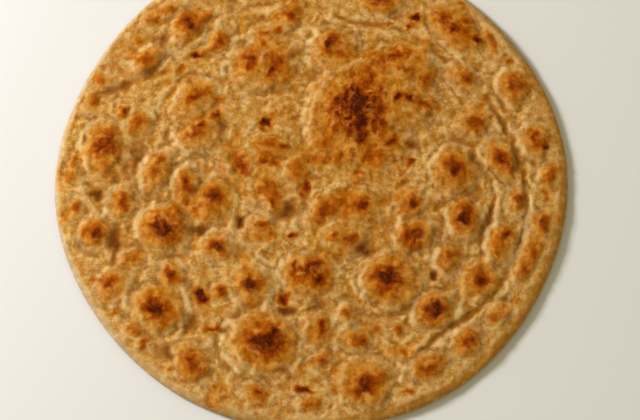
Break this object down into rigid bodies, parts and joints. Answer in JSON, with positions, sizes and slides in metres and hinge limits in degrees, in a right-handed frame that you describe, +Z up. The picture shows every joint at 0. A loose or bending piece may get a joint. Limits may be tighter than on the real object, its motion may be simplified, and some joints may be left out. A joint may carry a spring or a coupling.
{
  "type": "paratha flatbread",
  "caption": "Round griddle-cooked layered flatbread with a rolled rim, a top face risen in browned blisters, and a flat underside.",
  "frame": {"origin": "middle of the flat underside, where the bread rests", "axes": "+X runs across the bread along its longer width, +Y from its near edge to its far edge, +Z up out of the browned face"},
  "size_m": [0.222, 0.213, 0.0083],
  "materials": {
    "baked_dough": "griddle-browned dough with a thin film of fat, in patches matte and satin"
  },
  "bodies": {
    "root": {"paratha": "baked_dough"}
  },
  "joints": []
}
